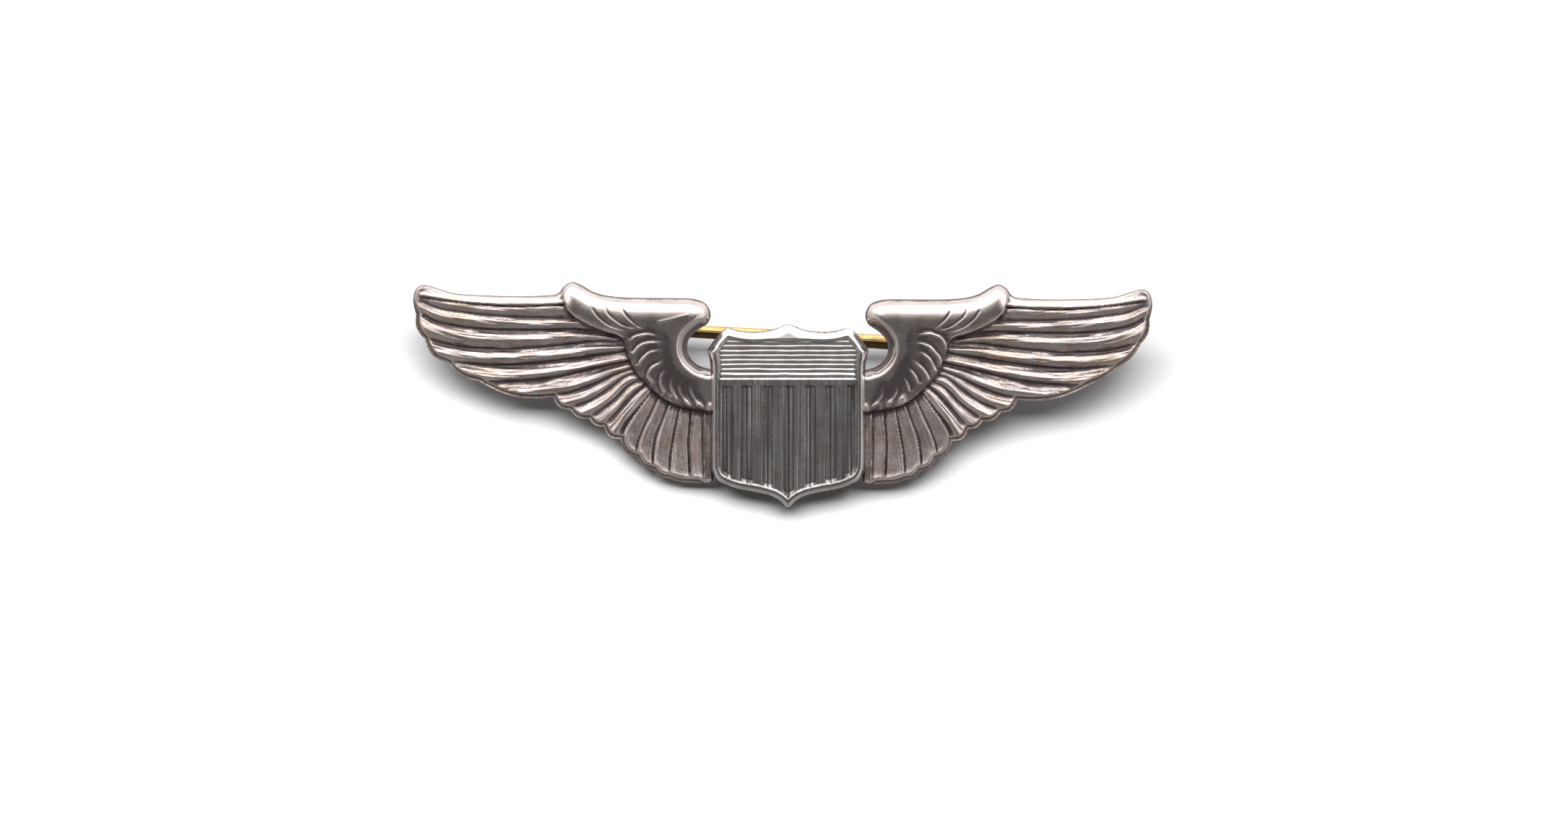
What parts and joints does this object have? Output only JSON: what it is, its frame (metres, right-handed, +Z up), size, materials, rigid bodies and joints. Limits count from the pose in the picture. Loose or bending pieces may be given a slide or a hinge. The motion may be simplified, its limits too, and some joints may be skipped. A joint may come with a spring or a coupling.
{
  "type": "pilot wings pin",
  "caption": "Struck silver wings badge with a plain ribbed shield, worn on cloth by a hinged brass pin stem that closes in a turning safety catch.",
  "frame": {"origin": "on the plane of the wings' flat backs, in the middle of the badge, on the line of the closed pin stem, where the cloth lies against the badge", "axes": "+X to the right and +Z up for someone who looks at the front of the worn badge; the front faces -Y and the pin is on the +Y side"},
  "size_m": [0.0512, 0.0063, 0.0156],
  "materials": {
    "struck_silver": "worn struck silver, bright on the raised work and dark with tarnish in the grooves",
    "plated_findings": "dull plated sheet metal",
    "solder": "matt grey silver solder",
    "brass": "satin brass wire, slightly tarnished"
  },
  "bodies": {
    "badge": {"left_wing": "struck_silver", "right_wing": "struck_silver", "shield": "struck_silver", "shield_solder": "solder", "hinge_bracket": "plated_findings", "hinge_solder": "solder", "hinge_rivet": "brass", "catch_base": "plated_findings", "catch_solder": "solder", "catch_housing": "plated_findings"},
    "pin_stem": {"pin_stem": "brass"},
    "catch_rotor": {"catch_rotor": "brass"}
  },
  "joints": [
    {"name": "pin_hinge", "type": "hinge", "parent": "badge", "child": "pin_stem", "pos_m": [0.01398, 0.0021, -0.00078], "axis": [-0.0551, 0, -0.9985], "range_deg": [0, 90]},
    {"name": "catch_turn", "type": "hinge", "parent": "badge", "child": "catch_rotor", "pos_m": [-0.01398, 0.0021, 0.00076], "axis": [-0.9985, 0, 0.0551], "range_deg": [0, 100]}
  ]
}
